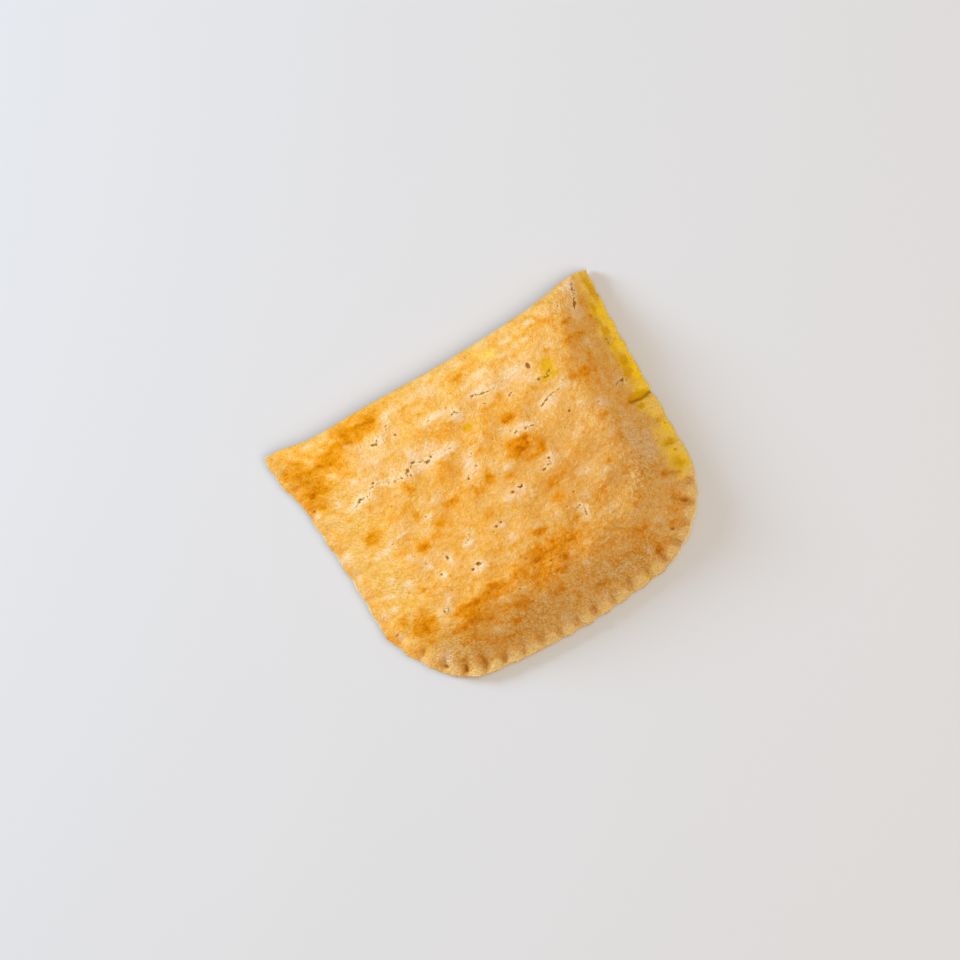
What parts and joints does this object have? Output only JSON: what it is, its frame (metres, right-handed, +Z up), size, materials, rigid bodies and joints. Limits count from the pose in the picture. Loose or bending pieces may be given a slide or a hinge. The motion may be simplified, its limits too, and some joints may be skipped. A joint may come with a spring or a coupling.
{
  "type": "jamaican patty",
  "caption": "Baked pastry turnover with a domed golden crust, a rounded fold along the back and a rim crimped shut on the other sides.",
  "frame": {"origin": "middle of the outline's box, on the flat underside that the patty rests on", "axes": "+X along the fold, to the right as seen from the front; +Y from the crimped front edge towards the fold; +Z up"},
  "size_m": [0.135, 0.112, 0.02],
  "materials": {
    "crust": "satin, dry baked pastry: golden, with browned patches, pale flecks and yellow spots"
  },
  "bodies": {
    "root": {"patty": "crust"}
  },
  "joints": []
}
